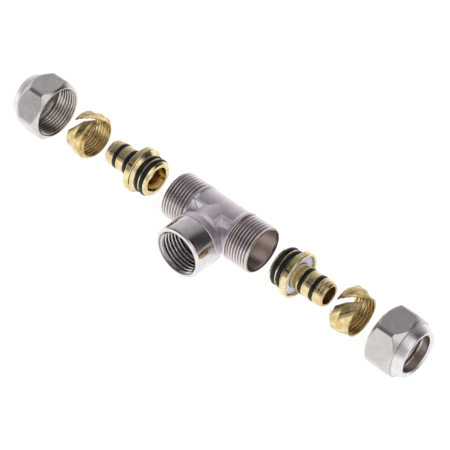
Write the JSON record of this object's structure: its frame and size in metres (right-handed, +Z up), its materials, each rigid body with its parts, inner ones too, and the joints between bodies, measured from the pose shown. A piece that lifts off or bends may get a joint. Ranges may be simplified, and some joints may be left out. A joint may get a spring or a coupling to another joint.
{
  "type": "compression fitting",
  "caption": "Compression tee for multilayer pipe, laid out apart: threaded brass tee, barbed inserts with O-rings, slit rings and hexagon union nuts.",
  "frame": {"origin": "centre of the threaded mouth of the branch", "axes": "+X along the run of the tee toward the right side, -Y out of the branch, +Z up; the run axis is 26.4 mm behind the origin along +Y"},
  "size_m": [0.2191, 0.041, 0.0272],
  "materials": {
    "tee_nickel": "satin nickel plate",
    "nut_nickel": "satin nickel plate",
    "insert_brass": "bright turned",
    "ring_brass": "turned",
    "oring_rubber": "matte",
    "washer_ptfe": "matte"
  },
  "bodies": {
    "tee": {"tee_body": "tee_nickel"},
    "left_insert": {"left_insert": "insert_brass", "left_outer_oring_1": "oring_rubber", "left_outer_oring_2": "oring_rubber", "left_nipple_oring_1": "oring_rubber", "left_nipple_oring_2": "oring_rubber"},
    "left_washer": {"left_insulating_washer": "washer_ptfe"},
    "left_ring": {"left_split_ring": "ring_brass"},
    "left_nut": {"left_nut": "nut_nickel"},
    "right_insert": {"right_insert": "insert_brass", "right_outer_oring_1": "oring_rubber", "right_outer_oring_2": "oring_rubber", "right_nipple_oring_1": "oring_rubber", "right_nipple_oring_2": "oring_rubber"},
    "right_washer": {"right_insulating_washer": "washer_ptfe"},
    "right_ring": {"right_split_ring": "ring_brass"},
    "right_nut": {"right_nut": "nut_nickel"}
  },
  "joints": [
    {"name": "left_insert_slide", "type": "slide", "parent": "tee", "child": "left_insert", "axis": [1, 0, 0], "range_m": [0, 0.0195]},
    {"name": "left_nut_turn", "type": "hinge", "parent": "left_insert", "child": "left_washer", "pos_m": [-0.045, 0.0264, 0], "axis": [1, 0, 0], "continuous": true},
    {"name": "left_ring_slide", "type": "slide", "parent": "left_washer", "child": "left_ring", "axis": [1, 0, 0], "range_m": [0, 0.0262]},
    {"name": "left_nut_slide", "type": "slide", "parent": "left_ring", "child": "left_nut", "axis": [1, 0, 0], "range_m": [0, 0.02975]},
    {"name": "right_insert_slide", "type": "slide", "parent": "tee", "child": "right_insert", "axis": [-1, 0, 0], "range_m": [0, 0.0175]},
    {"name": "right_nut_turn", "type": "hinge", "parent": "right_insert", "child": "right_washer", "pos_m": [0.043, 0.0264, 0], "axis": [-1, 0, 0], "continuous": true},
    {"name": "right_ring_slide", "type": "slide", "parent": "right_washer", "child": "right_ring", "axis": [-1, 0, 0], "range_m": [0, 0.0237]},
    {"name": "right_nut_slide", "type": "slide", "parent": "right_ring", "child": "right_nut", "axis": [-1, 0, 0], "range_m": [0, 0.02675]}
  ]
}
